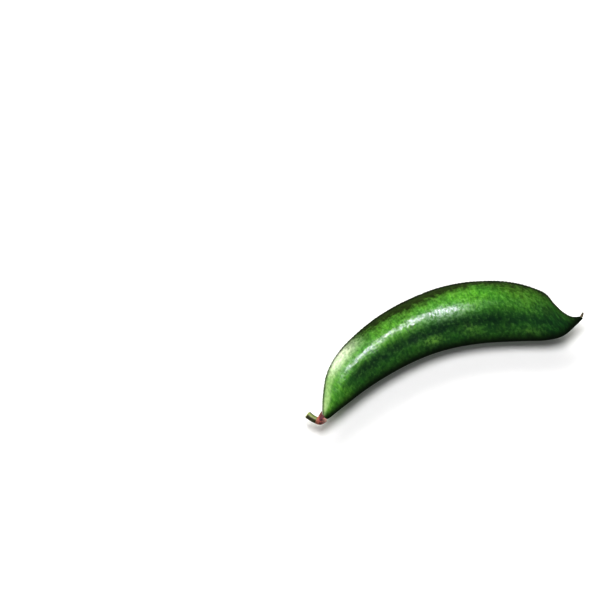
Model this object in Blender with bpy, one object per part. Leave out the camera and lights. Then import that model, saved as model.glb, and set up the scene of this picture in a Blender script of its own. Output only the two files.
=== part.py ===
"""A picked hyacinth bean pod lying on its broad side, in metres.

Four grown pieces: the green pod with its two sutures and its beak, the withered style
at the beak's end, the red calyx cup round the pod's neck, and the stub of stalk that it
hung from. The origin is on the surface below the middle of the object. +X runs from the
stalk to the beak, +Y towards the convex suture and +Z up.
"""

import math

import bmesh
import bpy
import numpy as np

MM = 0.001  # every length below is in millimetres, and is scaled by this as a mesh is made

# The two sutures, seen from above and listed from the neck to the beak, as (x, y).
CONVEX_SUTURE = (
    (-49.85, -12.4), (-49.2, -10.8), (-46.7, -5.3), (-41.1, 3.5), (-34.2, 8.9), (-25.7, 12.8),
    (-15.1, 16.0), (-1.0, 17.7), (8.0, 17.6), (16.5, 16.3), (25.0, 13.7), (34.2, 9.4),
    (41.1, 4.1), (44.7, 0.0), (46.3, -5.3), (47.8, -9.0), (50.1, -12.1), (52.95, -13.35),
)
CONCAVE_SUTURE = (
    (-49.15, -14.1), (-47.6, -13.9), (-45.5, -13.25), (-42.5, -12.3), (-39.0, -11.25),
    (-32.0, -9.15), (-21.1, -6.85), (-10.6, -5.6), (-1.7, -5.5), (6.8, -6.5), (15.8, -8.6),
    (25.4, -11.8), (31.5, -14.1), (38.1, -16.6), (44.0, -17.6), (50.5, -15.7), (53.6, -14.4),
)

# Half of the pod's thickness, as (share of the way from neck to beak, half thickness).
HALF_THICKNESS = (
    (0.0, 0.9), (0.02, 1.2), (0.06, 2.1), (0.13, 3.4), (0.24, 4.5), (0.38, 5.0), (0.55, 5.2),
    (0.70, 5.1), (0.80, 4.6), (0.87, 3.5), (0.92, 2.3), (0.96, 1.2), (1.0, 0.4),
)
MIDDLE_HEIGHT = 4.9  # of the plane through both sutures, over the surface below
NECK_LIFT = 0.7  # how much higher the neck is held
BEAK_LIFT = 1.6
LIFT_REACH = 0.35  # share of the pod, from either end, over which it bends up
TWIST_DEG = 7.0  # from neck to beak, the convex suture higher at the beak

# The section is a lens: height = (1 - |q| ** LENS_POWER) ** LENS_EDGE, with q from -1 at the
# concave suture through 0 at the crest to 1 at the convex one.
LENS_POWER = 2.1
LENS_EDGE = 0.66
CREST_ACROSS = 0.12  # the upper crest lies this share of the half width past the middle
BELLY_ACROSS = 0.0  # the same for the underside, so that it rests below its weight

# Seeds, as (share along, share across), and the swelling that each one makes in both walls.
SEEDS = ((0.22, 0.12), (0.355, 0.16), (0.475, 0.18), (0.59, 0.02), (0.71, 0.16))
SEED_SWELL = 0.65
SEED_LENGTH = 0.05  # as a share along
SEED_WIDTH = 0.42  # as a share across

# Soft waves of the upper wall, as (share along, share across, length, width, height).
WAVES = (
    (0.42, -0.66, 0.05, 0.20, 0.25),
    (0.60, -0.64, 0.04, 0.18, 0.15),
    (0.77, -0.58, 0.05, 0.22, 0.25),
    (0.50, -0.40, 0.32, 0.20, -0.25),
)

SUTURE_RIDGE = 0.45  # how far the seam stands out past the lens
SUTURE_RIDGE_WIDTH = 0.7

POD_RINGS = 92
POD_SIDES = 40
RING_CROWDING = 0.65  # 0 spaces the rings evenly, 1 crowds them fully towards both ends

# The calyx, a cup whose axis follows the pod's neck and then bends towards the stalk.
NECK = (-49.53, -13.08)  # middle of the neck where the calyx's rim is
NECK_BEARING_DEG = 17.5  # from +X, looking towards the pod
CALYX_BEND_FROM = 1.0  # along the axis, back from the rim
CALYX_BEND_DEG = 72.0  # at its base
CALYX_OUTER = ((-3.4, 0.65), (-3.25, 0.98), (-2.75, 1.33), (-1.9, 1.58), (-0.9, 1.65), (0.0, 1.56))
CALYX_INNER = ((0.0, 1.28), (-1.0, 1.27), (-2.1, 1.12))  # both as (along the axis, radius)
CALYX_FLATNESS = 0.98  # its height as a share of its width
CALYX_LOBES = 5
LOBE_LENGTHS = (0.25, 0.3, 0.25, 0.35, 0.35)  # of their tips, past the rim
LOBE_SHARPNESS = 2.2
LOBE_FLARE = 0.3  # how far a lobe's tip leans out with the widening pod
CALYX_SIDES = 40

# The stalk, a bent stub from just past the calyx's base to its broken end.
STALK_GAP = 0.3
STALK_END = (-54.5, -9.9)
STALK_END_BEARING_DEG = 118.0
STALK_RADII = ((0.0, 1.2), (0.3, 1.25), (0.75, 1.27), (1.0, 1.35))  # as (share along, radius)
STALK_RINGS = 12
STALK_SIDES = 16
STALK_CUT_BEVEL = 0.12

# The withered style, a tapering hook that carries on from the beak.
STYLE_PATH = ((53.52, -13.45), (53.9, -13.1), (54.27, -12.75), (54.62, -12.38))
STYLE_RADII = ((0.0, 0.44), (0.5, 0.4), (1.0, 0.26))  # as (share along, radius)
STYLE_RINGS = 9
STYLE_SIDES = 10

GREEN_SKIN = ("fresh_green_pod_skin", (0.075, 0.26, 0.035), 0.32)
RED_CALYX = ("papery_red_calyx", (0.30, 0.065, 0.07), 0.6)
STALK_GREEN = ("soft_green_stalk", (0.30, 0.38, 0.12), 0.5)
DRY_BROWN = ("withered_brown_style", (0.06, 0.05, 0.03), 0.7)


def clear_scene():
    for thing in list(bpy.data.objects):
        bpy.data.objects.remove(thing, do_unlink=True)


def smooth(places, values, where):
    """Values on a cubic curve through the knots, read at `where`.

    The slope at a knot is that of the parabola through it and its two neighbours.
    """
    places = np.asarray(places, float)
    values = np.asarray(values, float).reshape(len(places), -1)
    where = np.asarray(where, float)
    gap = np.diff(places)[:, None]
    rise = np.diff(values, axis=0) / gap
    slope = np.empty_like(values)
    slope[1:-1] = (rise[:-1] * gap[1:] + rise[1:] * gap[:-1]) / (gap[:-1] + gap[1:])
    slope[0] = 1.5 * rise[0] - 0.5 * slope[1]
    slope[-1] = 1.5 * rise[-1] - 0.5 * slope[-2]
    span = np.clip(np.searchsorted(places, where, side="right") - 1, 0, len(gap) - 1)
    wide = gap[span]
    u = (where[:, None] - places[span][:, None]) / wide
    from_start = (1 + 2 * u) * (1 - u) ** 2 * values[span] + u * (1 - u) ** 2 * wide * slope[span]
    to_end = u * u * (3 - 2 * u) * values[span + 1] + u * u * (u - 1) * wide * slope[span + 1]
    return from_start + to_end


def read_table(table, where):
    """A smooth curve through (place, value) pairs, read at `where`."""
    return smooth([row[0] for row in table], [row[1] for row in table], where)[:, 0]


def along_curve(knots, shares):
    """Points at equal shares of the length of a smooth curve through the knots."""
    knots = np.asarray(knots, float)
    chord = np.concatenate([[0.0], np.cumsum(np.linalg.norm(np.diff(knots, axis=0), axis=1))])
    dense = smooth(chord, knots, np.linspace(0.0, chord[-1], 60 * len(knots)))
    run = np.concatenate([[0.0], np.cumsum(np.linalg.norm(np.diff(dense, axis=0), axis=1))])
    wanted = np.asarray(shares) * run[-1]
    return np.stack([np.interp(wanted, run, dense[:, axis]) for axis in range(dense.shape[1])], 1)


def swelling(share, across, place, length, width):
    """A round swelling, 1 at its place and falling off as a bell curve both ways."""
    return np.exp(-(((share - place[0]) / length) ** 2) - ((across - place[1]) / width) ** 2)


def lens_height(across, crest):
    """Height of the lens, 0 at both sutures and 1 at the crest."""
    side = np.where(across > crest, 1.0 - crest, 1.0 + crest)
    leaning = np.clip(np.abs(across - crest) / side, 0.0, 1.0)
    return (1.0 - leaning**LENS_POWER) ** LENS_EDGE


def pod_rings():
    """The pod's surface as rings of points, from the neck to the beak.

    A point is set by its share along and its angle round the section. Across the pod it
    lies at the angle's cosine between the sutures, and it stands above or below the plane
    through them by the lens, the seeds' swellings and, above, the soft waves. What would
    reach below the surface that the pod lies on is flattened against it.
    """
    even = np.linspace(0.0, 1.0, POD_RINGS)
    share = (1 - RING_CROWDING) * even + RING_CROWDING * 0.5 * (1 - np.cos(math.pi * even))
    convex = along_curve(CONVEX_SUTURE, share)
    concave = along_curve(CONCAVE_SUTURE, share)
    middle = (convex + concave) / 2
    half = (convex - concave) / 2
    half_width = np.linalg.norm(half, axis=1)
    outwards = half / half_width[:, None]
    thick = read_table(HALF_THICKNESS, share)

    angle = np.linspace(0.0, 2 * math.pi, POD_SIDES, endpoint=False)
    across = np.cos(angle)[None, :]
    along = share[:, None]
    upper = np.sin(angle)[None, :] >= 0

    fullness = np.clip(thick / max(thick), 0.0, 1.0)[:, None]
    seeds = sum(swelling(along, across, seed, SEED_LENGTH, SEED_WIDTH) for seed in SEEDS)
    waves = sum(w[4] * swelling(along, across, w[:2], w[2], w[3]) for w in WAVES)
    lens = np.where(upper, lens_height(across, CREST_ACROSS), lens_height(across, BELLY_ACROSS))
    rise = lens * (thick[:, None] + fullness * (SEED_SWELL * seeds + np.where(upper, waves, 0.0)))
    rise = np.where(upper, rise, -rise)

    ridge = np.minimum(SUTURE_RIDGE, 0.3 * half_width)[:, None]
    near_seam = np.exp(-((rise / SUTURE_RIDGE_WIDTH) ** 2)) * np.sign(across)
    reach = across * (half_width[:, None] - ridge) + ridge * near_seam

    bend = NECK_LIFT * np.clip(1 - along / LIFT_REACH, 0, 1) ** 2
    bend = bend + BEAK_LIFT * np.clip((along - 1) / LIFT_REACH + 1, 0, 1) ** 2
    twist = np.radians(TWIST_DEG) * (along - 0.5)
    height = MIDDLE_HEIGHT + bend + reach * np.sin(twist) + rise

    plan = middle[:, None, :] + outwards[:, None, :] * reach[:, :, None]
    return np.dstack([plan, np.maximum(height, 0.0)])


def height_of_ends():
    """Height of the pod's middle plane at the neck and at the beak."""
    return MIDDLE_HEIGHT + NECK_LIFT, MIDDLE_HEIGHT + BEAK_LIFT


def tube_rings(path, radii, sides):
    """Round rings square to a path of points that lies in a level plane."""
    ahead = np.gradient(path, axis=0)
    ahead /= np.linalg.norm(ahead, axis=1)[:, None]
    beside = np.stack([-ahead[:, 1], ahead[:, 0], np.zeros(len(path))], 1)
    angle = np.linspace(0.0, 2 * math.pi, sides, endpoint=False)
    round_it = np.cos(angle)[None, :, None] * beside[:, None, :]
    round_it = round_it + np.sin(angle)[None, :, None] * np.array([0.0, 0.0, 1.0])
    return path[:, None, :] + round_it * radii[:, None, None]


def calyx_axis(back):
    """Points on the calyx's axis, and their bearings, for lengths back from the rim.

    The axis runs straight along the neck, and from where it bends it is an arc of a circle.
    """
    bend = math.radians(CALYX_BEND_DEG)
    radius = (-CALYX_OUTER[0][0] - CALYX_BEND_FROM) / bend
    past = np.maximum(back - CALYX_BEND_FROM, 0.0)
    turned = past / radius
    behind = np.minimum(back, CALYX_BEND_FROM) + radius * np.sin(turned)
    beside = radius * (1 - np.cos(turned))
    bearing = math.radians(NECK_BEARING_DEG)
    x = NECK[0] - behind * math.cos(bearing) - beside * math.sin(bearing)
    y = NECK[1] - behind * math.sin(bearing) + beside * math.cos(bearing)
    return x, y, bearing - turned


def calyx_rings():
    """The cup's rings, up its outside from the base and down its inside to the bottom.

    Each ring is an ellipse square to the axis. Near the rim a ring is drawn out along the
    axis, and leaned outwards, by a wave that gives the lobes their points.
    """
    angle = np.linspace(0.0, 2 * math.pi, CALYX_SIDES, endpoint=False)
    lobe = np.abs(np.cos(angle * CALYX_LOBES / 2)) ** LOBE_SHARPNESS
    nearest = np.rint(angle * CALYX_LOBES / (2 * math.pi)).astype(int) % CALYX_LOBES
    length = np.array(LOBE_LENGTHS)[nearest] * lobe
    rows = []
    for profile in (CALYX_OUTER, CALYX_INNER):
        base = min(place for place, _ in profile)
        for place, radius in profile:
            near_rim = ((place - base) / -base) ** 3
            rows.append((place + length * near_rim, radius + LOBE_FLARE * lobe * near_rim))
    rings = []
    for place, radius in rows:
        x, y, bearing = calyx_axis(-place)
        beside = radius * np.cos(angle)
        above = CALYX_FLATNESS * radius * np.sin(angle)
        rings.append(np.stack([
            x - beside * np.sin(bearing),
            y + beside * np.cos(bearing),
            height_of_ends()[0] + above,
        ], 1))
    return np.array(rings)


def stalk_rings():
    """A bent tube on a cubic Bezier curve, leaving the calyx's base square to it."""
    x, y, bearing = calyx_axis(np.array(STALK_GAP - CALYX_OUTER[0][0]))
    start, end = np.array([x, y]), np.array(STALK_END)
    reach = np.linalg.norm(end - start) / 3
    leave = bearing + math.pi
    arrive = math.radians(STALK_END_BEARING_DEG)
    handles = (
        start + reach * np.array([math.cos(leave), math.sin(leave)]),
        end - reach * np.array([math.cos(arrive), math.sin(arrive)]),
    )
    t = np.linspace(0.0, 1.0, STALK_RINGS)[:, None]
    plan = (1 - t) ** 3 * start + 3 * t * (1 - t) ** 2 * handles[0]
    plan = plan + 3 * t * t * (1 - t) * handles[1] + t**3 * end
    path = np.column_stack([plan, np.full(len(plan), height_of_ends()[0])])
    return tube_rings(path, read_table(STALK_RADII, t[:, 0]), STALK_SIDES)


def style_rings():
    """A tapering tube from just past the beak, along the hook."""
    share = np.linspace(0.0, 1.0, STYLE_RINGS)
    plan = along_curve(STYLE_PATH, share)
    path = np.column_stack([plan, np.full(len(plan), height_of_ends()[1])])
    return tube_rings(path, read_table(STYLE_RADII, share), STYLE_SIDES)


def make_material(name, colour, roughness):
    material = bpy.data.materials.new(name)
    material.use_nodes = True
    shader = material.node_tree.nodes["Principled BSDF"]
    shader.inputs["Base Color"].default_value = (*colour, 1.0)
    shader.inputs["Roughness"].default_value = roughness
    shader.inputs["Metallic"].default_value = 0.0
    return material


def skin(name, rings, finish, cut_bevel=0.0):
    """A closed solid through rings of points, with a flat cap on its first and last ring."""
    form = bmesh.new()
    loops = [[form.verts.new(point * MM) for point in ring] for ring in rings]
    for near, far in zip(loops, loops[1:]):
        for i, _ in enumerate(near):
            form.faces.new((near[i - 1], near[i], far[i], far[i - 1]))
    form.faces.new(loops[0])
    last_cap = form.faces.new(loops[-1])
    if cut_bevel:
        bmesh.ops.bevel(
            form, geom=list(last_cap.edges), offset=cut_bevel * MM, segments=2, affect="EDGES"
        )
    bmesh.ops.recalc_face_normals(form, faces=form.faces)
    mesh = bpy.data.meshes.new(name)
    form.to_mesh(mesh)
    form.free()
    mesh.shade_smooth()
    mesh.set_sharp_from_angle(angle=math.radians(50))
    mesh.materials.append(make_material(*finish))
    piece = bpy.data.objects.new(name, mesh)
    bpy.context.scene.collection.objects.link(piece)
    return piece


def main():
    clear_scene()
    skin("pod", pod_rings(), GREEN_SKIN)
    skin("calyx", calyx_rings(), RED_CALYX)
    skin("stalk", stalk_rings(), STALK_GREEN, cut_bevel=STALK_CUT_BEVEL)
    skin("style", style_rings(), DRY_BROWN)


main()
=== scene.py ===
"""A picked hyacinth bean pod on a pale table: the fine surfaces, their finishes and the light.

Lengths are in millimetres until a mesh is made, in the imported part's own axes. A share runs from
0 at the pod's neck to 1 at its beak, and across runs from -1 at the concave seam to 1 at the
convex one.
"""

import math

import bpy
import numpy as np
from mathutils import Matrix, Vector


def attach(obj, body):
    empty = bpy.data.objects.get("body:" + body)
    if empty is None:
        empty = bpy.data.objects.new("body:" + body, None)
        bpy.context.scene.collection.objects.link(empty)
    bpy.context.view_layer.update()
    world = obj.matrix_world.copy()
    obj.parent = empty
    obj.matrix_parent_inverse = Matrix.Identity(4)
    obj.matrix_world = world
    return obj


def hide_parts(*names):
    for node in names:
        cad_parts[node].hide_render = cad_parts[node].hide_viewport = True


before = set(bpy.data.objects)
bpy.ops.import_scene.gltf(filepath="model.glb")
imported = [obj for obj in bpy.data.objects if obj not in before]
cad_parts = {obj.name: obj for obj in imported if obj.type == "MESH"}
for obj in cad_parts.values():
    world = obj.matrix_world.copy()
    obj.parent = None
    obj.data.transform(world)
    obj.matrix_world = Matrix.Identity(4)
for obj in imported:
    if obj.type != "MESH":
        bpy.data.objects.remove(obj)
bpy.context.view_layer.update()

MM = 0.001
SEED = 7  # of the pod's random numbers; the stalk and the style take the next two

# The pod's outline, thickness and swellings, as in the part's source.

CONVEX_SUTURE = (
    (-49.85, -12.4), (-49.2, -10.8), (-46.7, -5.3), (-41.1, 3.5), (-34.2, 8.9), (-25.7, 12.8),
    (-15.1, 16.0), (-1.0, 17.7), (8.0, 17.6), (16.5, 16.3), (25.0, 13.7), (34.2, 9.4),
    (41.1, 4.1), (44.7, 0.0), (46.3, -5.3), (47.8, -9.0), (50.1, -12.1), (52.95, -13.35),
)
CONCAVE_SUTURE = (
    (-49.15, -14.1), (-47.6, -13.9), (-45.5, -13.25), (-42.5, -12.3), (-39.0, -11.25),
    (-32.0, -9.15), (-21.1, -6.85), (-10.6, -5.6), (-1.7, -5.5), (6.8, -6.5), (15.8, -8.6),
    (25.4, -11.8), (31.5, -14.1), (38.1, -16.6), (44.0, -17.6), (50.5, -15.7), (53.6, -14.4),
)
# Share along, half thickness.
HALF_THICKNESS = (
    (0.0, 0.9), (0.02, 1.2), (0.06, 2.1), (0.13, 3.4), (0.24, 4.5), (0.38, 5.0), (0.55, 5.2),
    (0.70, 5.1), (0.80, 4.6), (0.87, 3.5), (0.92, 2.3), (0.96, 1.2), (1.0, 0.4),
)
MIDDLE_HEIGHT = 4.9  # of the plane through both seams, above the table
NECK_LIFT = 0.7  # how much higher the neck's end lies
BEAK_LIFT = 1.6  # how much higher the beak's end lies
LIFT_REACH = 0.35  # share of the length over which each end rises
TWIST_DEG = 7.0  # turn of the section from neck to beak
NECK_HEIGHT = MIDDLE_HEIGHT + NECK_LIFT
BEAK_HEIGHT = MIDDLE_HEIGHT + BEAK_LIFT

LENS_POWER = 2.1  # a larger one keeps the wall high further out from its crest
LENS_EDGE = 0.66  # a smaller one makes it meet the seam more steeply
CREST_ACROSS = 0.12  # where the upper wall is highest
BELLY_ACROSS = 0.0  # where the lower wall is lowest
SEEDS = ((0.22, 0.12), (0.355, 0.16), (0.475, 0.18), (0.59, 0.02), (0.71, 0.16))
SEED_SWELL = 0.65  # how far a seed pushes each wall out
SEED_LENGTH = 0.05  # as a share of the pod's length
SEED_WIDTH = 0.42  # as a share of the pod's half width
# Waves of the upper wall: share, across, their two half sizes, height.
WAVES = (
    (0.42, -0.66, 0.05, 0.20, 0.25),
    (0.60, -0.64, 0.04, 0.18, 0.15),
    (0.77, -0.58, 0.05, 0.22, 0.25),
    (0.50, -0.40, 0.32, 0.20, -0.25),
)
SUTURE_RIDGE = 0.45  # how far each seam stands out
SUTURE_RIDGE_WIDTH = 0.7
SUTURE_RIDGE_LIMIT = 0.3  # the most it may be, as a share of the pod's half width

# Fine relief that only this file adds, in millimetres.

POD_RINGS = 520
POD_SIDES = 168
RING_CROWDING = 0.45  # 0 spaces the rings evenly, and more crowds them towards both ends
WART_SPACING = 1.3  # of the small warts along the convex seam
WART_HEIGHT = 0.16  # above the notches between them
WART_NOTCH_POWER = 3  # a larger one narrows the notches
WART_STRAY = 0.5  # how far a wart may stray, as a share of the spacing
WART_STRAY_LENGTH = 2.0  # of seam, over which the straying changes
VEIN_SPACING = 2.6  # of the slanting veins across both walls
VEIN_HEIGHT = 0.01
VEIN_SLANT = 0.45  # how far a vein runs on towards the beak for each millimetre from the middle
VEIN_STRAY = 1.5  # how far a vein strays from its straight run
VEIN_STRAY_SIZE = (6.0, 4.0)  # along and across, over which the straying changes
DIMPLE_SIZE = 2.2  # of the soft unevenness of the skin
DIMPLE_HEIGHT = 0.03
FADE_POWER = 6  # a larger one takes veins and dimples nearer to the seams
LOWER_WALL_SHIFT = 50  # gives the lower wall other dimples than the upper one
NOISE_TABLE = 96  # random values each way, before the noise repeats
STEPS_PER_KNOT = 60  # with which a curve's length is measured

# Colour beside the seams: how wide it is, in millimetres, and how strong, for shares along.

SEAM_SHADOW_WIDTH = (  # of the painted shadow, a dark olive band beside the convex seam
    (0.0, 2.0), (0.3, 4.8), (0.5, 5.0), (0.6, 4.2), (0.66, 3.4), (0.7, 4.4), (0.76, 7.4),
    (0.82, 6.2), (1.0, 3.4),
)
SEAM_SHADOW_STRENGTH = (
    (0.0, 0.0), (0.18, 0.0), (0.22, 0.4), (0.27, 0.93), (0.82, 1.0), (0.88, 0.95), (1.0, 0.6),
)
SEAM_LINE_WIDTH = (  # of the blackish line on the convex seam itself
    (0.0, 0.8), (0.25, 0.9), (0.4, 1.05), (0.75, 1.15), (0.85, 1.5), (1.0, 1.5),
)
SEAM_LINE_STRENGTH = ((0.0, 0.75), (0.12, 0.8), (0.3, 0.95), (0.4, 1.0), (1.0, 1.0))
SEAM_LINE_BEAT = 0.14  # how much of it comes and goes with the warts
SHADE_RIM_WIDTH = 2.0  # of the blackish rim beside the concave seam: a darker seam, widened with painted shade
SHADOW_BAND_POWER = 2.2  # of each colour's fall-off; a larger one gives a firmer edge
LINE_POWER = 3
SHADE_RIM_POWER = 2
EDGE_STRAY = 0.14  # how unevenly all three end, as a share of their width
COARSE_STRAY_SIZE = (2.0, 2.0)  # along and across, over which the straying changes
FINE_STRAY_SIZE = (0.7, 0.9)

# Places on the upper wall: share, across, their two half sizes, strength.

FURROW_SHADE = (  # painted shade: hollows, where the green is darkest
    (0.50, -0.42, 0.27, 0.19, 0.85), (0.22, -0.36, 0.10, 0.22, 0.5),
    (0.715, -0.15, 0.08, 0.55, 0.4), (0.87, 0.05, 0.08, 0.45, 0.65),
)
PAINTED_LIGHT_SPOTS = (  # painted light: lit spots, in a yellower green
    (0.465, -0.70, 0.032, 0.13, 0.9), (0.60, -0.64, 0.032, 0.15, 0.4),
    (0.80, -0.76, 0.04, 0.12, 0.4), (0.815, 0.45, 0.03, 0.13, 0.3), (0.03, 0.2, 0.05, 0.6, 0.5),
)
PAINTED_SHEEN = (  # painted sheen: a grey veil of reflection where the wax is whole
    (0.54, 0.04, 0.075, 0.19, 0.65), (0.185, 0.2, 0.035, 0.14, 0.3),
)

# The calyx, along an axis that bends back from the pod's neck.

NECK = (-49.53, -13.08)  # where the axis starts, at the calyx's rim
NECK_BEARING_DEG = 17.5
CALYX_BEND_FROM = 1.0  # length back from the rim at which the axis starts to bend
CALYX_BEND_DEG = 72.0
CALYX_LENGTH = 3.4
# Place along the axis, radius.
CALYX_OUTER = ((-3.4, 0.65), (-3.25, 0.98), (-2.75, 1.33), (-1.9, 1.58), (-0.9, 1.65), (0.0, 1.56))
CALYX_FLATNESS = 0.98  # the section's height over its breadth
CALYX_WALL = 0.22
CALYX_SIDES = 160
CALYX_OUTER_RINGS = 40
CALYX_INNER_RINGS = 18
CALYX_FLOOR = 0.45  # where the cup is closed inside, as a share of its length from the base
CALYX_LOBES = 5
LOBE_LENGTHS = (1.0, 0.3, 0.25, 0.35, 0.35)  # of their tips, past the rim
LOBE_PALENESS = (0.05, 0.1, 1.0, 0.6, 0.3)  # how pale each lobe's tip is
PALENESS_BETWEEN = 0.6  # how far the rim between two lobes has, as a share of their tips
LOBE_SHARPNESS = 2.2
LOBE_FLARES = (0.85, 0.15, 0.15, 0.15, 0.2)  # how far each leans out with the widening pod
LOBE_RIBS = 3  # on each lobe
LOBE_RIB_HEIGHT = 0.06

# The stalk, from inside the calyx's base to its torn end.

STALK_END = (-54.5, -9.9)
STALK_END_BEARING_DEG = 118.0
STALK_RADII = ((0.0, 1.2), (0.3, 1.25), (0.75, 1.27), (1.0, 1.35))
STALK_SUNK = 0.25  # how far it reaches into the calyx's base, where the two are grown together
STALK_RINGS = 60
STALK_SIDES = 72
STALK_RIBS = 6
STALK_RIB_HEIGHT = 0.035  # as a share of the radius
STALK_ROUGHNESS = 0.03  # as a share of the radius
# The torn end's rings: size, as a share of the last full ring, and how far each stands past it.
STALK_END_RINGS = ((0.94, 0.16), (0.78, 0.34), (0.5, 0.42), (0.22, 0.36))
TORN_HEIGHT = 0.12

# The style, along the hook of the beak.

STYLE_PATH = ((53.0, -13.85), (53.52, -13.45), (53.9, -13.1), (54.27, -12.75), (54.62, -12.38))
STYLE_RADII = ((0.0, 0.42), (0.2, 0.46), (0.6, 0.4), (1.0, 0.24))
STYLE_RINGS = 36
STYLE_SIDES = 32
STYLE_ROUGHNESS = 0.12  # as a share of the radius

# The photograph's frame is 600 pixels square, at 0.37 mm to a pixel.

IMAGE_PIXELS = 600
MM_PER_PIXEL = 0.37
POD_PIXEL = (434.0, 338.2)  # where the pod's own middle, at POD_PLACE, shows
POD_PLACE = (0.0, 0.0, 5.0)
CAMERA_AZIMUTH_DEG = -22.46
CAMERA_ELEVATION_DEG = 72.0
CAMERA_LENS_MM = 500.0
SENSOR_MM = 36.0
CAMERA_SEES_M = (0.01, 20.0)  # nearest and furthest

# Each light: its bearing from the image's top, clockwise, and its elevation, both in degrees, its
# distance and its size in metres, its watts and its colour.

SOFT_BOXES = {
    "key": (-15.0, 22.0, 1.2, (0.9, 0.45), 14.0, "#fffdf8"),
    "overhead": (-20.0, 72.0, 1.2, (0.8, 0.8), 15.0, "#ffffff"),
    "fill": (165.0, 30.0, 1.3, (0.9, 0.5), 4.5, "#ffffff"),
}
STRIP = (-26.0, 71.5, 1.1, (0.55, 0.26), 20.0, "#ecd0ff")
ROOM_COLOUR = "#f6f6f6"
ROOM_STRENGTH = 0.12
VIEW_GAMMA = 0.7  # deepens the shades, as the photograph's are
TABLE_HALF_SIZE = 3000.0


# Numbers and curves

def smooth(places, values, where):
    """Values on a cubic curve through the knots, read at `where`.

    The slope at a knot is that of the parabola through it and its two neighbours.
    """
    places = np.asarray(places, float)
    values = np.asarray(values, float).reshape(len(places), -1)
    where = np.asarray(where, float)
    gap = np.diff(places)[:, None]
    rise = np.diff(values, axis=0) / gap
    slope = np.empty_like(values)
    slope[1:-1] = (rise[:-1] * gap[1:] + rise[1:] * gap[:-1]) / (gap[:-1] + gap[1:])
    slope[0] = 1.5 * rise[0] - 0.5 * slope[1]
    slope[-1] = 1.5 * rise[-1] - 0.5 * slope[-2]
    span = np.clip(np.searchsorted(places, where, side="right") - 1, 0, len(gap) - 1)
    wide = gap[span]
    u = (where[:, None] - places[span][:, None]) / wide
    from_start = (1 + 2 * u) * (1 - u) ** 2 * values[span] + u * (1 - u) ** 2 * wide * slope[span]
    to_end = u * u * (3 - 2 * u) * values[span + 1] + u * u * (u - 1) * wide * slope[span + 1]
    return from_start + to_end


def read_table(table, where):
    """A smooth curve through (place, value) pairs, read at `where`, as a column."""
    return smooth([row[0] for row in table], [row[1] for row in table], where)


def run_along(points):
    """The length of a path from its first point to each of its points."""
    steps = np.linalg.norm(np.diff(points, axis=0), axis=1)
    return np.concatenate([[0.0], np.cumsum(steps)])


def along_curve(knots, shares):
    """Points at equal shares of the length of a smooth curve through the knots."""
    knots = np.asarray(knots, float)
    chord = run_along(knots)
    dense = smooth(chord, knots, np.linspace(0.0, chord[-1], STEPS_PER_KNOT * len(knots)))
    run = run_along(dense)
    wanted = np.asarray(shares) * run[-1]
    return np.stack([np.interp(wanted, run, dense[:, axis]) for axis in range(dense.shape[1])], 1)


def once_round(sides):
    """Equal angles once round, the last one short of the first."""
    return np.linspace(0.0, 2 * math.pi, sides, endpoint=False)


def swelling(share, across, place, length, width):
    """A round swelling, 1 at its place and falling off as a bell curve both ways."""
    return np.exp(-(((share - place[0]) / length) ** 2) - ((across - place[1]) / width) ** 2)


def all_swellings(share, across, rows):
    """The sum of swellings, one to a row: share, across, their two half sizes, height."""
    return sum(row[4] * swelling(share, across, row[:2], row[2], row[3]) for row in rows)


def soft_noise(x, y, rng, start=(0, 0)):
    """Smooth random values from -1 to 1 at (x, y), one random value to a unit square.

    The four nearest values of a repeating table are blended with smoothed weights. `start` is
    where the table is entered.
    """
    table = rng.uniform(-1, 1, (NOISE_TABLE, NOISE_TABLE))
    x = x + start[0]
    y = y + start[1]
    x0 = np.floor(x).astype(int)
    y0 = np.floor(y).astype(int)
    u = x - x0
    v = y - y0
    u = u * u * (3 - 2 * u)
    v = v * v * (3 - 2 * v)
    here_x, next_x = x0 % NOISE_TABLE, (x0 + 1) % NOISE_TABLE
    here_y, next_y = y0 % NOISE_TABLE, (y0 + 1) % NOISE_TABLE
    low = table[here_x, here_y] * (1 - u) + table[next_x, here_y] * u
    high = table[here_x, next_y] * (1 - u) + table[next_x, next_y] * u
    return low * (1 - v) + high * v


# Meshes

def add_object(name, data):
    """A new object in the scene that shows `data`."""
    thing = bpy.data.objects.new(name, data)
    bpy.context.scene.collection.objects.link(thing)
    return thing


def closed_mesh(name, rings):
    """A closed mesh through a grid of points, one row to a ring, with a fan over each end."""
    count, sides = rings.shape[:2]
    index = np.arange(count * sides).reshape(count, sides)
    beside = np.roll(index, -1, axis=1)
    quads = np.stack([index[:-1], beside[:-1], beside[1:], index[1:]], -1).reshape(-1, 4)
    ends = np.array([rings[0].mean(axis=0), rings[-1].mean(axis=0)])
    points = np.vstack([rings.reshape(-1, 3), ends])
    first, last = len(points) - 2, len(points) - 1
    start = np.stack([np.full(sides, first), beside[0], index[0]], -1)
    end = np.stack([np.full(sides, last), index[-1], beside[-1]], -1)
    mesh = bpy.data.meshes.new(name)
    mesh.from_pydata((points * MM).tolist(), [], quads.tolist() + start.tolist() + end.tolist())
    mesh.shade_smooth()
    return add_object(name, mesh)


def give_values(piece, name, values):
    """A number or a vector for each vertex; the two caps' centres take their ring's mean."""
    wide = values.reshape(values.shape[0], values.shape[1], -1)
    ends = np.stack([wide[0].mean(axis=0), wide[-1].mean(axis=0)])
    flat = np.vstack([wide.reshape(-1, wide.shape[2]), ends]).astype(np.float32)
    vector = wide.shape[2] == 3
    attribute = piece.data.attributes.new(name, "FLOAT_VECTOR" if vector else "FLOAT", "POINT")
    attribute.data.foreach_set("vector" if vector else "value", flat.reshape(-1))


def place_piece(piece, node, build):
    """Gives a piece its finish, and has it ride on the part in the place of its node."""
    piece.data.materials.append(finish_surface(build.__name__, build))
    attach(piece, "root")
    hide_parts(node)


# Materials

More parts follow.
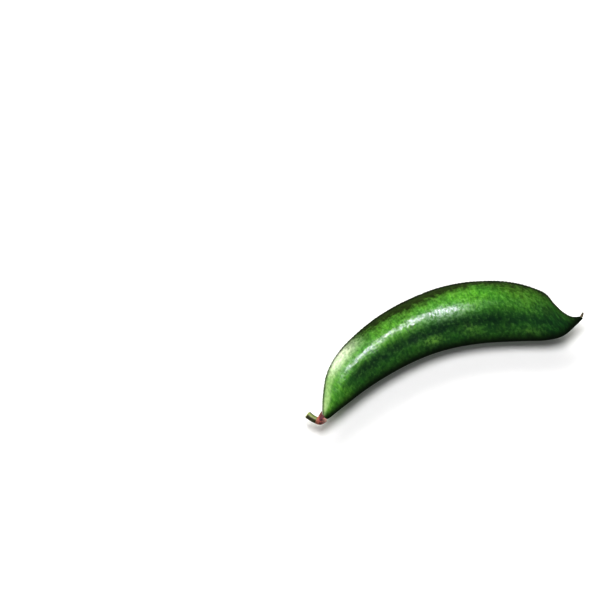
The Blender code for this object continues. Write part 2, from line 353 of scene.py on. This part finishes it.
def srgb(code):
    """An sRGB hex colour as linear red, green, blue and alpha."""
    parts = [int(code[i:i + 2], 16) / 255 for i in (1, 3, 5)]
    return (*[c / 12.92 if c <= 0.04045 else ((c + 0.055) / 1.055) ** 2.4 for c in parts], 1.0)


def add(tree, kind, inputs=None, output=None, **settings):
    """A new shader node with its settings and its inputs' values or links.

    It gives back the output that is named, or else the first one in use.
    """
    node = tree.nodes.new(kind)
    for name, value in settings.items():
        setattr(node, name, value)
    for name, value in (inputs or {}).items():
        if isinstance(value, bpy.types.NodeSocket):
            tree.links.new(value, node.inputs[name])
        else:
            node.inputs[name].default_value = value
    if output:
        return node.outputs[output]
    return next((socket for socket in node.outputs if socket.enabled), None)


# A map's inputs are its value (0), the range it comes from (1, 2) and the range it goes to
# (3, 4), 0 to 1 where none is given. A mix's are its factor (0) and its two colours (6, 7).

MIX, MAP, MATHS = "ShaderNodeMix", "ShaderNodeMapRange", "ShaderNodeMath"
NOISE, BUMP, VALUES = "ShaderNodeTexNoise", "ShaderNodeBump", "ShaderNodeAttribute"
RGBA = {"data_type": "RGBA"}
TIMES = {"operation": "MULTIPLY"}
LESS = {"operation": "SUBTRACT", "use_clamp": True}
SOFT = {"interpolation_type": "SMOOTHSTEP"}


def finish_surface(name, build):
    """A material whose Principled shader takes what `build` gives for each of its sockets."""
    material = bpy.data.materials.new(name)
    material.use_nodes = True
    tree = material.node_tree
    tree.nodes.clear()
    shader = add(tree, "ShaderNodeBsdfPrincipled", build(tree))
    add(tree, "ShaderNodeOutputMaterial", {"Surface": shader})
    return material


def rind_green(tree, skin, marks, grain, streak):
    """The rind's greens: patches, streaks and grains, with painted shade on the lower wall and in
    the furrow, and painted light on lit spots.
    """
    # Two greens in soft patches of 9 mm.
    patch = add(tree, NOISE, {"Vector": skin, "Scale": 1 / 9.0, "Detail": 2.0})
    patch = add(tree, MAP, {0: patch, 1: 0.36, 2: 0.64}, **SOFT)
    colour = add(tree, MIX, {0: patch, 6: srgb("#70ac40"), 7: srgb("#5a9c3a")}, **RGBA)
    colour = add(tree, MIX, {0: streak, 6: colour, 7: srgb("#42802f")}, **RGBA)

    # The dark grains, and then the light ones.
    dark = add(tree, MAP, {0: grain, 1: 0.48, 2: 0.32, 3: 0.0, 4: 0.6})
    light = add(tree, MAP, {0: grain, 1: 0.54, 2: 0.7, 3: 0.0, 4: 0.5})
    colour = add(tree, MIX, {0: dark, 6: colour, 7: srgb("#35651f")}, **RGBA)
    colour = add(tree, MIX, {0: light, 6: colour, 7: srgb("#8cbd62")}, **RGBA)

    # Painted shade: the lower wall is darker and bluer, in clouds of 2.4 mm, and darkest in the
    # furrow.
    shaded = add(tree, MAP, {0: marks["across"], 1: 0.05, 2: -0.35, 3: 0.0, 4: 0.72}, **SOFT)
    past_neck = add(tree, MAP, {0: marks["share"], 1: 0.07, 2: 0.22}, **SOFT)
    shaded = add(tree, MATHS, {0: shaded, 1: past_neck}, **TIMES)
    cloud = add(tree, NOISE, {"Vector": skin, "Scale": 1 / 2.4, "Detail": 3.0, "Roughness": 0.6})
    cloud = add(tree, MAP, {0: cloud, 1: 0.4, 2: 0.62}, **SOFT)
    shade = add(tree, MIX, {0: cloud, 6: srgb("#13402b"), 7: srgb("#285c2c")}, **RGBA)
    colour = add(tree, MIX, {0: shaded, 6: colour, 7: shade}, **RGBA)
    cloudy = add(tree, MAP, {0: cloud, 1: 0.0, 2: 1.0, 3: 1.0, 4: 0.74})
    deep = add(tree, MATHS, {0: marks["furrow_shade"], 1: cloudy}, **TIMES)
    colour = add(tree, MIX, {0: deep, 6: colour, 7: srgb("#0a301a")}, **RGBA)
    speck = add(tree, MATHS, {0: light, 1: 0.45}, **TIMES)
    colour = add(tree, MIX, {0: speck, 6: colour, 7: srgb("#6f9f58")}, **RGBA)

    # Painted light makes lit spots a yellower green, and the beak is a deep green.
    colour = add(tree, MIX, {0: marks["painted_light"], 6: colour, 7: srgb("#7fae55")}, **RGBA)
    beak = add(tree, MAP, {0: marks["share"], 1: 0.78, 2: 0.92, 3: 0.0, 4: 0.7}, **SOFT)
    deep_green = add(tree, MIX, {0: cloud, 6: srgb("#123a20"), 7: srgb("#2a5e2c")}, **RGBA)
    return add(tree, MIX, {0: beak, 6: colour, 7: deep_green}, **RGBA)


def under_bloom_and_sheen(tree, colour, skin, marks, grain):
    """The rind under its pale bloom, strong at the neck and partly painted sheen, and a grey
    painted sheen where the wax is whole.
    """
    share, across = marks["share"], marks["across"]
    # At the neck it lies along the convex seam, wider at the very end.
    near_neck = add(tree, MAP, {0: share, 1: 0.31, 2: 0.2}, **SOFT)
    widened = add(tree, MAP, {0: share, 1: 0.12, 2: 0.04, 3: 0.0, 4: 0.3}, **SOFT)
    widened = add(tree, MATHS, {0: across, 1: widened}, operation="ADD")
    near_seam = add(tree, MAP, {0: widened, 1: 0.2, 2: 0.76}, **SOFT)
    bloom_and_sheen = add(tree, MATHS, {0: near_neck, 1: near_seam}, **TIMES)
    past_stem = add(tree, MAP, {0: share, 1: 0.03, 2: 0.1, 3: 1.0, 4: 0.75}, **SOFT)
    bloom_and_sheen = add(tree, MATHS, {0: bloom_and_sheen, 1: past_stem}, **TIMES)
    # Less of it lies on the lower wall, and the grains break it up.
    height = add(tree, "ShaderNodeSeparateXYZ", {0: skin}, "Z")
    above = add(tree, MAP, {0: height, 1: -2.2, 2: 0.4, 3: 0.35, 4: 1.0}, **SOFT)
    bloom_and_sheen = add(tree, MATHS, {0: bloom_and_sheen, 1: above}, **TIMES)
    patchy = add(tree, MAP, {0: grain, 1: 0.35, 2: 0.6, 3: 0.6, 4: 1.0})
    bloom_and_sheen = add(tree, MATHS, {0: bloom_and_sheen, 1: patchy}, **TIMES)
    # It is pale green at the end, and whitish from where the pod widens, partly as painted sheen.
    whiter = add(tree, MAP, {0: share, 1: 0.11, 2: 0.18}, **SOFT)
    whitish = add(tree, MIX, {0: whiter, 6: srgb("#b6cf9a"), 7: srgb("#f4f5e6")}, **RGBA)
    colour = add(tree, MIX, {0: bloom_and_sheen, 6: colour, 7: whitish}, **RGBA)
    # Painted sheen: a grey veil where the wax is whole.
    return add(tree, MIX, {0: marks["painted_sheen"], 6: colour, 7: srgb("#c0cdc8")}, **RGBA)


def with_seams(tree, colour, marks, grain):
    """The walls with their darker seams: on the convex one a blackish line edged with a flecked
    olive painted shadow, and on the concave one a blackish rim, partly painted shade.
    """
    mottled = add(tree, MAP, {0: grain, 1: 0.4, 2: 0.6, 3: 0.97, 4: 0.74})
    olive_shadow = add(tree, MATHS, {0: marks["seam_shadow_band"], 1: mottled}, **TIMES)
    flecked = add(tree, MAP, {0: grain, 1: 0.42, 2: 0.6})
    seam_shadow_green = add(tree, MIX, {0: flecked, 6: srgb("#2a3a15"), 7: srgb("#36491e")}, **RGBA)
    colour = add(tree, MIX, {0: olive_shadow, 6: colour, 7: seam_shadow_green}, **RGBA)
    colour = add(tree, MIX, {0: marks["seam_line"], 6: colour, 7: srgb("#0f1a08")}, **RGBA)
    return add(tree, MIX, {0: marks["rim"], 6: colour, 7: srgb("#0f1c0b")}, **RGBA)


def wax_left(tree, skin, marks):
    """How much of the wax is left, from 0 to 1.

    It is worn off the seams, thin in the furrow and at both ends, and uneven elsewhere from
    handling, in patches of about 3 mm.
    """
    wax = add(tree, MATHS, {0: 1.0, 1: marks["seam_shadow_band"]}, operation="SUBTRACT")
    wax = add(tree, MATHS, {0: wax, 1: marks["rim"]}, **LESS)
    wax = add(tree, MATHS, {0: wax, 1: marks["seam_line"]}, **LESS)
    hollow = add(tree, MATHS, {0: marks["furrow_shade"], 1: 0.7}, **TIMES)
    wax = add(tree, MATHS, {0: wax, 1: hollow}, **LESS)
    past_neck = add(tree, MAP, {0: marks["share"], 1: 0.1, 2: 0.22, 3: 0.1, 4: 1.0}, **SOFT)
    wax = add(tree, MATHS, {0: wax, 1: past_neck}, **TIMES)
    before_beak = add(tree, MAP, {0: marks["share"], 1: 0.67, 2: 0.5, 3: 0.06, 4: 1.0}, **SOFT)
    wax = add(tree, MATHS, {0: wax, 1: before_beak}, **TIMES)
    handled = add(tree, NOISE, {"Vector": skin, "Scale": 1 / 3.0, "Detail": 2.0})
    handled = add(tree, MAP, {0: handled, 1: 0.38, 2: 0.58, 3: 0.5, 4: 1.0}, **SOFT)
    return add(tree, MATHS, {0: wax, 1: handled}, **TIMES)


def waxy_pod_skin(tree):
    """Fresh bean pod skin: a green rind under a thin natural wax.

    The wax is a coat with a narrow gleam, broken up by the grainy rind. The rind itself hardly
    shines. The moist wall under it lets a little light in, so that the lit green looks full.
    """
    skin = add(tree, VALUES, output="Vector", attribute_name="skin_mm")
    marks = {
        name: add(tree, VALUES, output="Fac", attribute_name=name)
        for name in ("across", "share", "seam_shadow_band", "seam_line", "rim", "furrow_shade", "painted_light", "painted_sheen")
    }
    # Crosswise streaks, about 0.8 mm wide and 2.6 mm long, and grains of 1.2 mm. The real grain
    # is finer, and is drawn as coarse as it needs to show.
    streak_scale = (1 / 0.8, 1 / 2.6, 1 / 2.6)
    crosswise = add(tree, "ShaderNodeMapping", {"Vector": skin, "Scale": streak_scale})
    streak = add(tree, NOISE, {"Vector": crosswise, "Scale": 1.0, "Detail": 2.0})
    streak = add(tree, MAP, {0: streak, 1: 0.38, 2: 0.64, 3: 0.0, 4: 0.7})
    grain = add(tree, NOISE, {"Vector": skin, "Scale": 1 / 1.2, "Detail": 3.0, "Roughness": 0.6})

    # The grains break up the painted light spots and the painted sheen.
    specks = add(tree, MAP, {0: grain, 1: 0.42, 2: 0.58, 3: 0.25, 4: 1.0})
    for name in ("painted_light", "painted_sheen"):
        marks[name] = add(tree, MATHS, {0: marks[name], 1: specks}, **TIMES)

    colour = rind_green(tree, skin, marks, grain, streak)
    colour = under_bloom_and_sheen(tree, colour, skin, marks, grain)
    colour = with_seams(tree, colour, marks, grain)

    # Pores of 0.8 mm, coarser than real ones so that they show, and the streaks stand out a
    # tenth of a millimetre.
    fine = add(tree, NOISE, {"Vector": skin, "Scale": 1 / 0.8, "Detail": 2.0})
    bump = add(tree, BUMP, {"Height": fine, "Strength": 0.7, "Distance": 0.12 * MM})
    bump = add(tree, BUMP, {
        "Height": streak, "Strength": 0.6, "Distance": 0.1 * MM, "Normal": bump,
    })
    # Bare rind is duller than waxed rind.
    wax = wax_left(tree, skin, marks)
    gloss = add(tree, MAP, {0: grain, 1: 0.3, 2: 0.7, 3: 0.34, 4: 0.44})
    dull = add(tree, MAP, {0: wax, 1: 0.0, 2: 1.0, 3: 0.35, 4: 0.0})
    gloss = add(tree, MATHS, {0: gloss, 1: dull}, operation="ADD")
    coat = add(tree, MATHS, {0: wax, 1: 0.75}, **TIMES)
    return {
        "Base Color": colour, "Roughness": gloss, "Normal": bump, "Coat Normal": bump, "IOR": 1.45,
        "Specular IOR Level": 0.12, "Coat Weight": coat, "Coat Roughness": 0.21,
        "Subsurface Weight": 0.1, "Subsurface Radius": (0.4, 1.0, 0.2),
        "Subsurface Scale": 0.8 * MM,
    }


def papery_calyx(tree):
    """Old calyx tissue, thin and dry: a matt red with a paler base and paler lobe tips."""
    place = add(tree, "ShaderNodeTexCoord", output="Object")
    pale_tips = add(tree, VALUES, output="Fac", attribute_name="pale_tips")
    from_base = add(tree, VALUES, output="Fac", attribute_name="from_base")
    # Light and dark red in blotches of 0.9 mm.
    blotch = add(tree, NOISE, {"Vector": place, "Scale": 1 / (0.9 * MM), "Detail": 2.0})
    blotch = add(tree, MAP, {0: blotch, 1: 0.37, 2: 0.53}, **SOFT)
    colour = add(tree, MIX, {0: blotch, 6: srgb("#a45c54"), 7: srgb("#4f1a1a")}, **RGBA)
    base = add(tree, MAP, {0: from_base, 1: 0.5, 2: 0.12, 3: 0.0, 4: 0.65}, **SOFT)
    colour = add(tree, MIX, {0: base, 6: colour, 7: srgb("#c08a70")}, **RGBA)
    colour = add(tree, MIX, {0: pale_tips, 6: colour, 7: srgb("#e2c6b4")}, **RGBA)
    # A crumpled surface, 0.35 mm from fold to fold.
    folds = add(tree, NOISE, {"Vector": place, "Scale": 1 / (0.35 * MM), "Detail": 2.0})
    bump = add(tree, BUMP, {"Height": folds, "Strength": 0.5, "Distance": 0.1 * MM})
    return {"Base Color": colour, "Roughness": 0.55, "Normal": bump, "IOR": 1.45}


def fibrous_stalk(tree):
    """Living stalk: yellow-green, darkened down both flanks by painted shade so that a painted
    highlight runs along the top, with a pale torn end.
    """
    place = add(tree, "ShaderNodeTexCoord", output="Object")
    cut = add(tree, VALUES, output="Fac", attribute_name="cut")
    flank = add(tree, VALUES, output="Fac", attribute_name="flank")
    # Two yellow-greens in blotches of 0.9 mm.
    blotch = add(tree, NOISE, {"Vector": place, "Scale": 1 / (0.9 * MM), "Detail": 3.0})
    blotch = add(tree, MAP, {0: blotch, 1: 0.35, 2: 0.7}, **SOFT)
    colour = add(tree, MIX, {0: blotch, 6: srgb("#95a45f"), 7: srgb("#788a46")}, **RGBA)
    # Painted shade down both flanks, darker on the near one.
    near_flank_shade = add(tree, MAP, {0: flank, 1: -0.1, 2: 0.5, 3: 0.0, 4: 0.93}, **SOFT)
    far_flank_shade = add(tree, MAP, {0: flank, 1: -0.3, 2: -0.8, 3: 0.0, 4: 0.85}, **SOFT)
    colour = add(tree, MIX, {0: near_flank_shade, 6: colour, 7: srgb("#3a3814")}, **RGBA)
    colour = add(tree, MIX, {0: far_flank_shade, 6: colour, 7: srgb("#414e1e")}, **RGBA)
    torn = add(tree, MIX, {0: blotch, 6: srgb("#bfc287"), 7: srgb("#8f9b58")}, **RGBA)
    colour = add(tree, MIX, {0: cut, 6: colour, 7: torn}, **RGBA)
    # Fibres 0.3 mm apart.
    fibres = add(tree, NOISE, {"Vector": place, "Scale": 1 / (0.3 * MM), "Detail": 2.0})
    bump = add(tree, BUMP, {"Height": fibres, "Strength": 0.4, "Distance": 0.1 * MM})
    return {"Base Color": colour, "Roughness": 0.5, "Normal": bump, "IOR": 1.45}


def withered_style(tree):
    """Dead style, dried hard: grey-brown and matt, in blotches of 0.5 mm, darker at the tip."""
    place = add(tree, "ShaderNodeTexCoord", output="Object")
    tip = add(tree, VALUES, output="Fac", attribute_name="tip")
    blotch = add(tree, NOISE, {"Vector": place, "Scale": 1 / (0.5 * MM), "Detail": 2.0})
    colour = add(tree, MIX, {0: blotch, 6: srgb("#8c8668"), 7: srgb("#5f5a45")}, **RGBA)
    colour = add(tree, MIX, {0: tip, 6: colour, 7: srgb("#4a4638")}, **RGBA)
    return {"Base Color": colour, "Roughness": 0.7, "IOR": 1.45}


def painted_board(tree):
    """Board painted matt white, the table that the pod lies on; it hardly shines."""
    place = add(tree, "ShaderNodeTexCoord", output="Object")
    # Faint clouds of 60 mm.
    cloud = add(tree, NOISE, {"Vector": place, "Scale": 1 / (60 * MM), "Detail": 2.0})
    colour = add(tree, MIX, {0: cloud, 6: srgb("#efefef"), 7: srgb("#ececec")}, **RGBA)
    return {"Base Color": colour, "Roughness": 0.9, "Specular IOR Level": 0.1}


# Pieces

def lens_height(across, crest):
    """Height of the lens, 1 at the crest and 0 at both sutures.

    It is (1 - s ** LENS_POWER) ** LENS_EDGE, where s is the share of the way from the crest.
    """
    side = np.where(across > crest, 1.0 - crest, 1.0 + crest)
    leaning = np.clip(np.abs(across - crest) / side, 0.0, 1.0)
    return (1.0 - leaning**LENS_POWER) ** LENS_EDGE


def seam_marks(share, edge_run, breadth, rise, from_convex, from_concave, beat, rng):
    """Where the colours of both seams lie: the convex one's painted shadow band and its line, and
    the concave one's rim, partly painted shade.

    Each falls off as exp(-(distance from the seam / width) ** power), and its width strays a
    little, coarsely and finely. The line comes and goes with the warts' own beat.
    """
    coarse = soft_noise(
        edge_run / COARSE_STRAY_SIZE[0], rise / COARSE_STRAY_SIZE[1], rng, start=(0, 70)
    )
    fine = soft_noise(
        edge_run / FINE_STRAY_SIZE[0], breadth / FINE_STRAY_SIZE[1], rng, start=(9, 50)
    )
    wide = 1 + EDGE_STRAY * coarse + EDGE_STRAY * fine
    shadow_band = np.exp(-((from_convex / (read_table(SEAM_SHADOW_WIDTH, share) * wide)) ** SHADOW_BAND_POWER))
    line = np.exp(-((from_convex / (read_table(SEAM_LINE_WIDTH, share) * wide)) ** LINE_POWER))
    line = line * (1 - SEAM_LINE_BEAT + SEAM_LINE_BEAT * beat)
    return {
        "seam_shadow_band": shadow_band * read_table(SEAM_SHADOW_STRENGTH, share),
        "seam_line": line * read_table(SEAM_LINE_STRENGTH, share),
        "rim": np.exp(-((from_concave / (SHADE_RIM_WIDTH * wide)) ** SHADE_RIM_POWER)),
    }


def make_pod():
    """The pod: a lens section carried between the two sutures, with all of its relief.

    A point is set by its share along and its angle round the section. Across the pod it
    lies at the angle's cosine between the sutures, and it stands above or below the plane
    through them by the lens, the seeds' swellings and the waves of the wall. The convex seam
    carries a row of small warts, fine veins slant across the walls, and the skin is softly
    uneven. What would reach below the table is flattened against it.
    """
    rng = np.random.default_rng(SEED)
    even = np.linspace(0.0, 1.0, POD_RINGS)
    share = (1 - RING_CROWDING) * even + RING_CROWDING * 0.5 * (1 - np.cos(math.pi * even))
    convex = along_curve(CONVEX_SUTURE, share)
    concave = along_curve(CONCAVE_SUTURE, share)
    middle = (convex + concave) / 2
    half = (convex - concave) / 2
    half_width = np.linalg.norm(half, axis=1)[:, None]
    outwards = half / half_width
    thick = read_table(HALF_THICKNESS, share)
    fullness = np.clip(thick / thick.max(), 0.0, 1.0)
    run = run_along(middle)[:, None]
    edge_run = run_along(convex)[:, None]

    angle = once_round(POD_SIDES)
    across = np.cos(angle)[None, :]
    along = share[:, None]
    upper = np.sin(angle)[None, :] >= 0
    breadth = across * half_width

    seeds = sum(swelling(along, across, seed, SEED_LENGTH, SEED_WIDTH) for seed in SEEDS)
    waves = np.where(upper, all_swellings(along, across, WAVES), 0.0)
    # Veins and dimples fade out towards both seams.
    inside = np.clip(1 - np.abs(across) ** FADE_POWER, 0, 1)
    strays = soft_noise(
        run / VEIN_STRAY_SIZE[0], breadth / VEIN_STRAY_SIZE[1], rng, start=(40, 40)
    )
    slant = run - VEIN_SLANT * np.abs(breadth) + VEIN_STRAY * strays
    veins = np.cos(2 * math.pi * slant / VEIN_SPACING) * inside
    wall_place = breadth + np.where(upper, 0, LOWER_WALL_SHIFT)
    dimples = soft_noise(run / DIMPLE_SIZE, wall_place / DIMPLE_SIZE, rng, start=(300, 300))
    relief = SEED_SWELL * seeds + waves + VEIN_HEIGHT * veins + DIMPLE_HEIGHT * dimples * inside

    lens = np.where(upper, lens_height(across, CREST_ACROSS), lens_height(across, BELLY_ACROSS))
    rise = lens * (thick + fullness * relief)
    rise = np.where(upper, rise, -rise)

    # Each seam stands out as a ridge, and the convex one's is notched between its warts.
    ridge = np.minimum(SUTURE_RIDGE, SUTURE_RIDGE_LIMIT * half_width)
    seam = np.exp(-((rise / SUTURE_RIDGE_WIDTH) ** 2))
    strays = soft_noise(edge_run / WART_STRAY_LENGTH, 0.0 * edge_run, rng, start=(0, 5))
    turns = edge_run / WART_SPACING + WART_STRAY * strays
    beat = 0.5 + 0.5 * np.cos(2 * math.pi * turns)
    warts = WART_HEIGHT * beat**WART_NOTCH_POWER * (across > 0) * fullness**0.5
    reach = across * (half_width - ridge) + ridge * seam * np.sign(across) - warts * seam

    bend = NECK_LIFT * np.clip(1 - along / LIFT_REACH, 0, 1) ** 2
    bend = bend + BEAK_LIFT * np.clip((along - 1) / LIFT_REACH + 1, 0, 1) ** 2
    twist = np.radians(TWIST_DEG) * (along - 0.5)
    height = MIDDLE_HEIGHT + bend + reach * np.sin(twist) + rise
    plan = middle[:, None, :] + outwards[:, None, :] * reach[:, :, None]
    rings = np.dstack([plan, np.maximum(height, 0.0)])
    # The angle runs from the convex suture over the top, so it is turned round for the faces.
    piece = closed_mesh("pod_skin", rings[:, ::-1])

    whole = np.ones_like(rise)
    marks = {
        "skin_mm": np.dstack([run * whole, half_width * (1 - across), rise]),
        "across": across * whole,
        "share": along * whole,
        "furrow_shade": np.minimum(all_swellings(along, across, FURROW_SHADE) * upper, 1.0),
        "painted_light": all_swellings(along, across, PAINTED_LIGHT_SPOTS) * upper,
        "painted_sheen": all_swellings(along, across, PAINTED_SHEEN) * upper,
    }
    from_convex = np.maximum(half_width - reach, 0.0)
    marks |= seam_marks(
        share, edge_run, breadth, rise, from_convex, half_width + reach, beat, rng
    )
    for name, values in marks.items():
        give_values(piece, name, values[:, ::-1])
    place_piece(piece, "pod", waxy_pod_skin)


def calyx_axis(back):
    """Points on the calyx's axis, and their bearings, for lengths back from the rim.

    The axis runs straight along the neck, and from where it bends it is an arc of a circle.
    """
    bend = math.radians(CALYX_BEND_DEG)
    radius = (CALYX_LENGTH - CALYX_BEND_FROM) / bend
    past = np.maximum(back - CALYX_BEND_FROM, 0.0)
    turned = past / radius
    behind = np.minimum(back, CALYX_BEND_FROM) + radius * np.sin(turned)
    beside = radius * (1 - np.cos(turned))
    bearing = math.radians(NECK_BEARING_DEG)
    x = NECK[0] - behind * math.cos(bearing) - beside * math.sin(bearing)
    y = NECK[1] - behind * math.sin(bearing) + beside * math.cos(bearing)
    return x, y, bearing - turned


def make_calyx():
    """The calyx: a cup of ellipses square to a bending axis, up the outside and down inside.

    Towards the rim, by the cube of the way up, a ring is drawn out along the axis and leaned
    outwards by a wave that gives the five lobes, |cos| of half the angle for each, to a power
    that sharpens them. Low ribs run up the outside of each lobe.
    """
    angle = once_round(CALYX_SIDES)
    lobe = np.abs(np.cos(angle * CALYX_LOBES / 2)) ** LOBE_SHARPNESS
    nearest = np.rint(angle * CALYX_LOBES / (2 * math.pi)).astype(int) % CALYX_LOBES
    length = np.array(LOBE_LENGTHS)[nearest] * lobe
    flare = np.array(LOBE_FLARES)[nearest] * lobe
    paleness = np.array(LOBE_PALENESS)[nearest]

    outside = np.linspace(0.0, 1.0, CALYX_OUTER_RINGS)[:, None]
    near_rim = outside**3
    places = -CALYX_LENGTH * (1 - outside)
    rib = LOBE_RIB_HEIGHT * np.cos(angle * CALYX_LOBES * LOBE_RIBS) * near_rim
    place_out = places + length * near_rim
    radius_out = read_table(CALYX_OUTER, places[:, 0]) + flare * near_rim + rib

    inner = np.linspace(1.0, CALYX_FLOOR, CALYX_INNER_RINGS)[:, None]
    near_in = inner**3
    places_in = -CALYX_LENGTH * (1 - inner)
    place_in = places_in + length * near_in
    radius_in = read_table(CALYX_OUTER, places_in[:, 0]) - CALYX_WALL + flare * near_in

    place = np.vstack([place_out, place_in])
    radius = np.vstack([radius_out, radius_in])
    x, y, bearing = calyx_axis(-place)
    beside = radius * np.cos(angle)
    above = CALYX_FLATNESS * radius * np.sin(angle)
    rings = np.dstack([
        x - beside * np.sin(bearing),
        y + beside * np.cos(bearing),
        NECK_HEIGHT + above,
    ])
    piece = closed_mesh("calyx_cup", rings)
    all_inside = np.ones_like(place_in)
    pale_tips = near_rim * (PALENESS_BETWEEN + (1 - PALENESS_BETWEEN) * lobe)
    give_values(piece, "pale_tips", np.vstack([pale_tips, all_inside]) * paleness)
    from_base = np.vstack([outside * np.ones_like(place_out), all_inside])
    give_values(piece, "from_base", from_base)
    place_piece(piece, "calyx", papery_calyx)


def tube_rings(path, radii, sides):
    """Round rings square to a path that lies in a level plane; radii may vary round the ring."""
    ahead = np.gradient(path, axis=0)
    ahead /= np.linalg.norm(ahead, axis=1)[:, None]
    beside = np.stack([-ahead[:, 1], ahead[:, 0], np.zeros(len(path))], 1)
    angle = once_round(sides)
    round_it = np.cos(angle)[None, :, None] * beside[:, None, :]
    round_it = round_it + np.sin(angle)[None, :, None] * np.array([0.0, 0.0, 1.0])
    return path[:, None, :] + round_it * radii[:, :, None]


def towards(bearing):
    """A unit step in the plan, at a bearing from +X."""
    return np.array([math.cos(bearing), math.sin(bearing)])


def make_stalk():
    """The stalk: a ribbed tube along a cubic curve, closed by a rounded, torn end.

    Four points guide the curve: its start inside the calyx, a third of the way on in the calyx's
    own direction, a third of the way back from the end, and the end. Each is weighted by its
    power of t and of 1 - t.
    """
    x, y, bearing = calyx_axis(np.array(CALYX_LENGTH - STALK_SUNK))
    start, end = np.array([x, y]), np.array(STALK_END)
    third = np.linalg.norm(end - start) / 3
    arrive = math.radians(STALK_END_BEARING_DEG)
    first = start + third * towards(bearing + math.pi)
    second = end - third * towards(arrive)
    t = np.linspace(0.0, 1.0, STALK_RINGS)[:, None]
    plan = (1 - t) ** 3 * start + 3 * t * (1 - t) ** 2 * first
    plan = plan + 3 * t * t * (1 - t) * second + t**3 * end
    path = np.column_stack([plan, np.full(STALK_RINGS, NECK_HEIGHT)])

    angle = once_round(STALK_SIDES)
    rng = np.random.default_rng(SEED + 1)
    # Nine soft bumps along it, and three for each radius across.
    rough = soft_noise(t * 9, np.cos(angle)[None, :] * 3, rng, start=(20, 20))
    radii = read_table(STALK_RADII, t[:, 0]) * (1 + STALK_RIB_HEIGHT * np.cos(STALK_RIBS * angle))
    radii = radii * (1 + STALK_ROUGHNESS * rough)
    rings = tube_rings(path, radii, STALK_SIDES)

    ahead = np.append(towards(arrive), 0.0)
    centre = rings[-1].mean(axis=0)
    torn = soft_noise(np.cos(angle) * 2, np.sin(angle) * 2, rng, start=(9, 9))[:, None]
    end_rings = [
        centre + (rings[-1] - centre) * size + ahead * (past + TORN_HEIGHT * torn * size)
        for size, past in STALK_END_RINGS
    ]
    rings = np.concatenate([rings, np.array(end_rings)])
    piece = closed_mesh("stalk_stub", rings)
    cut = np.zeros(rings.shape[:2])
    cut[STALK_RINGS:] = 1.0
    give_values(piece, "cut", cut)
    give_values(piece, "flank", np.broadcast_to(np.cos(angle)[None, :], cut.shape))
    place_piece(piece, "stalk", fibrous_stalk)


def make_style():
    """The style: a tapering, slightly shrivelled tube along the beak's hook."""
    share = np.linspace(0.0, 1.0, STYLE_RINGS)
    plan = along_curve(STYLE_PATH, share)
    path = np.column_stack([plan, np.full(STYLE_RINGS, BEAK_HEIGHT)])
    rng = np.random.default_rng(SEED + 2)
    around = np.cos(once_round(STYLE_SIDES))[None, :]
    # Eight soft bumps along it, and two for each radius across.
    rough = soft_noise(share[:, None] * 8, around * 2, rng, start=(30, 30))
    radii = read_table(STYLE_RADII, share) * (1 + STYLE_ROUGHNESS * rough)
    piece = closed_mesh("dry_style", tube_rings(path, radii, STYLE_SIDES))
    give_values(piece, "tip", np.broadcast_to(share[:, None], radii.shape))
    place_piece(piece, "style", withered_style)


# Setting

def make_floor():
    """A pale table, far wider than the view."""
    corners = np.array([[-1, -1, 0], [1, -1, 0], [1, 1, 0], [-1, 1, 0]]) * TABLE_HALF_SIZE * MM
    mesh = bpy.data.meshes.new("table")
    mesh.from_pydata(corners.tolist(), [], [(0, 1, 2, 3)])
    floor = add_object("table", mesh)
    mesh.materials.append(finish_surface("painted_board", painted_board))


def view_axes():
    """The photograph's right, up and towards-the-camera directions."""
    a, e = math.radians(CAMERA_AZIMUTH_DEG), math.radians(CAMERA_ELEVATION_DEG)
    right = Vector((math.cos(a), math.sin(a), 0.0))
    back = Vector((math.sin(a) * math.cos(e), -math.cos(a) * math.cos(e), math.sin(e)))
    return right, back.cross(right), back


def look_along(thing, direction):
    """Turns a camera or a light so that it faces along a direction."""
    thing.rotation_mode = "QUATERNION"
    thing.rotation_quaternion = direction.to_track_quat("-Z", "Y")


def make_camera():
    """A long lens from above, set so that the pod lands where the photograph has it."""
    right, up, back = view_axes()
    middle = IMAGE_PIXELS / 2
    across = (middle - POD_PIXEL[0]) * MM_PER_PIXEL
    rise = (POD_PIXEL[1] - middle) * MM_PER_PIXEL
    aim = (Vector(POD_PLACE) + right * across + up * rise) * MM
    data = bpy.data.cameras.new("camera")
    data.lens = CAMERA_LENS_MM
    data.sensor_width = SENSOR_MM
    data.clip_start, data.clip_end = CAMERA_SEES_M
    camera = add_object("camera", data)
    distance = CAMERA_LENS_MM * IMAGE_PIXELS * MM_PER_PIXEL / SENSOR_MM
    camera.location = aim + back * distance * MM
    look_along(camera, -back)
    bpy.context.scene.camera = camera


def area_light(name, bearing_deg, elevation_deg, distance_m, size_m, watts, colour):
    """A rectangular soft box that faces the pod."""
    right, _, _ = view_axes()
    top = Vector((0, 0, 1)).cross(right)
    bearing, elevation = math.radians(bearing_deg), math.radians(elevation_deg)
    level = top * math.cos(bearing) + right * math.sin(bearing)
    out = level * math.cos(elevation) + Vector((0, 0, 1)) * math.sin(elevation)
    data = bpy.data.lights.new(name, "AREA")
    data.shape = "RECTANGLE"
    data.size, data.size_y = size_m
    data.energy = watts
    data.color = srgb(colour)[:3]
    light = add_object(name, data)
    light.location = out * distance_m
    look_along(light, -out)
    return light


def make_lights():
    """A low key from the image's top, a wide box overhead, weak fill, and a strip for the gleam.

    The boxes light the rind without shining in the wax, and the strip does only that.
    """
    for name, place in SOFT_BOXES.items():
        area_light(name, *place).visible_glossy = False
    area_light("strip", *STRIP).visible_diffuse = False
    world = bpy.data.worlds.new("studio")
    world.use_nodes = True
    background = world.node_tree.nodes["Background"]
    background.inputs["Color"].default_value = srgb(ROOM_COLOUR)
    background.inputs["Strength"].default_value = ROOM_STRENGTH
    bpy.context.scene.world = world
    settings = bpy.context.scene.view_settings
    settings.view_transform = "Standard"
    settings.look = "None"
    settings.exposure = 0.0
    settings.gamma = VIEW_GAMMA


make_camera()
make_lights()
make_floor()
make_pod()
make_calyx()
make_stalk()
make_style()
